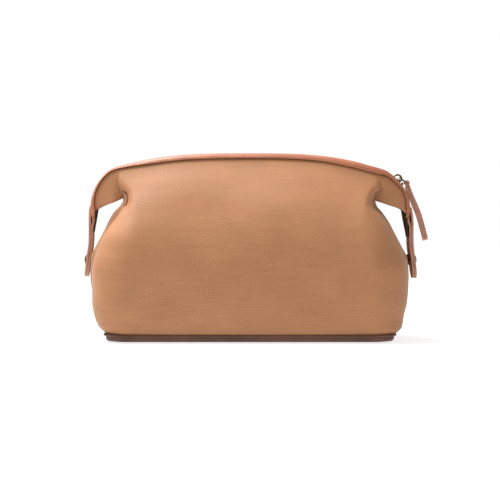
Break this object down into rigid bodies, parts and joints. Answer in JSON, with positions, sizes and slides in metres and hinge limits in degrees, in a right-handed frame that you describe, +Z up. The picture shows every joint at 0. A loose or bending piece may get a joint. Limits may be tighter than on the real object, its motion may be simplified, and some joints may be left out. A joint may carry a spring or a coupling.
{
  "type": "shaving kit bag",
  "caption": "Canvas wash bag with an arched zip top, snap-down wings, leather facings, end tabs, zip pull and base, and a lined cavity for shaving kit.",
  "frame": {"origin": "centre of the leather base on the surface the bag stands on", "axes": "+X along the bag's width, front faces -Y, +Z up"},
  "size_m": [0.2944, 0.124, 0.1607],
  "materials": {
    "canvas": "matte twill",
    "lining_cloth": "matte plain weave",
    "saddle_leather": "satin",
    "zip_tape": "matte herringbone",
    "zip_teeth_metal": "antique",
    "antique_brass": "antique satin",
    "stiffening_board": "matte"
  },
  "bodies": {
    "shell": {"front_panel": "canvas", "back_panel": "canvas", "left_gusset": "canvas", "right_gusset": "canvas", "front_lining": "lining_cloth", "back_lining": "lining_cloth", "left_lining": "lining_cloth", "right_lining": "lining_cloth", "base_panel": "saddle_leather", "base_board": "stiffening_board", "base_lining": "lining_cloth", "base_welt": "saddle_leather", "left_snap_stud": "antique_brass", "right_snap_stud": "antique_brass", "left_snap_washer": "antique_brass", "right_snap_washer": "antique_brass"},
    "front_mouth": {"front_panel_top": "canvas", "front_top_lining": "lining_cloth", "front_facing": "saddle_leather", "front_zip_tape": "zip_tape", "front_zip_teeth": "zip_teeth_metal"},
    "back_mouth": {"back_panel_top": "canvas", "back_top_lining": "lining_cloth", "back_facing": "saddle_leather", "back_zip_tape": "zip_tape", "back_zip_teeth": "zip_teeth_metal"},
    "left_wing": {"left_wing_canvas": "canvas", "left_wing_facings": "saddle_leather", "left_zip_end": "zip_tape", "left_tab_outer": "saddle_leather", "left_tab_inner": "saddle_leather", "left_snap_cap": "antique_brass", "left_snap_socket": "antique_brass", "zip_bottom_stop": "antique_brass"},
    "right_wing": {"right_wing_canvas": "canvas", "right_wing_facings": "saddle_leather", "right_zip_end": "zip_tape", "right_tab_outer": "saddle_leather", "right_tab_inner": "saddle_leather", "right_snap_cap": "antique_brass", "right_snap_socket": "antique_brass", "zip_top_stops": "antique_brass"},
    "slider": {"zip_slider": "antique_brass"},
    "bail": {"pull_bail": "antique_brass"},
    "pull": {"leather_pull": "saddle_leather"}
  },
  "joints": [
    {"name": "slider_travel", "type": "hinge", "parent": "shell", "child": "slider", "pos_m": [0, 0, -0.2285], "axis": [0, -1, 0], "range_deg": [0, 35]},
    {"name": "front_mouth_open", "type": "hinge", "parent": "shell", "child": "front_mouth", "pos_m": [0, -0.0493, 0.1058], "axis": [1, 0, 0], "range_deg": [0, 35], "deforming": ["front_zip_tape", "front_zip_teeth"]},
    {"name": "back_mouth_open", "type": "hinge", "parent": "shell", "child": "back_mouth", "pos_m": [0, 0.0493, 0.1058], "axis": [-1, 0, 0], "range_deg": [0, 35], "deforming": ["back_zip_tape", "back_zip_teeth"]},
    {"name": "right_wing_lift", "type": "hinge", "parent": "shell", "child": "right_wing", "pos_m": [0.1114, 0, 0.1495], "axis": [0, -1, 0], "range_deg": [0, 59.5], "deforming": ["right_zip_end"]},
    {"name": "left_wing_lift", "type": "hinge", "parent": "shell", "child": "left_wing", "pos_m": [-0.1114, 0, 0.1495], "axis": [0, 1, 0], "range_deg": [0, 60], "deforming": ["left_zip_end"]},
    {"name": "bail_swing", "type": "hinge", "parent": "slider", "child": "bail", "pos_m": [0.1293, 0, 0.13987], "axis": [0, -1, 0], "range_deg": [0, 120]},
    {"name": "pull_swing", "type": "hinge", "parent": "bail", "child": "pull", "pos_m": [0.13567, 0, 0.13503], "axis": [0, -1, 0], "range_deg": [0, 70], "deforming": ["leather_pull"]}
  ],
  "couplings": [
    {"joint": "front_mouth_open", "follows": "slider_travel", "ratio": 1},
    {"joint": "back_mouth_open", "follows": "slider_travel", "ratio": 1},
    {"joint": "right_wing_lift", "follows": "slider_travel", "ratio": 1.7}
  ]
}
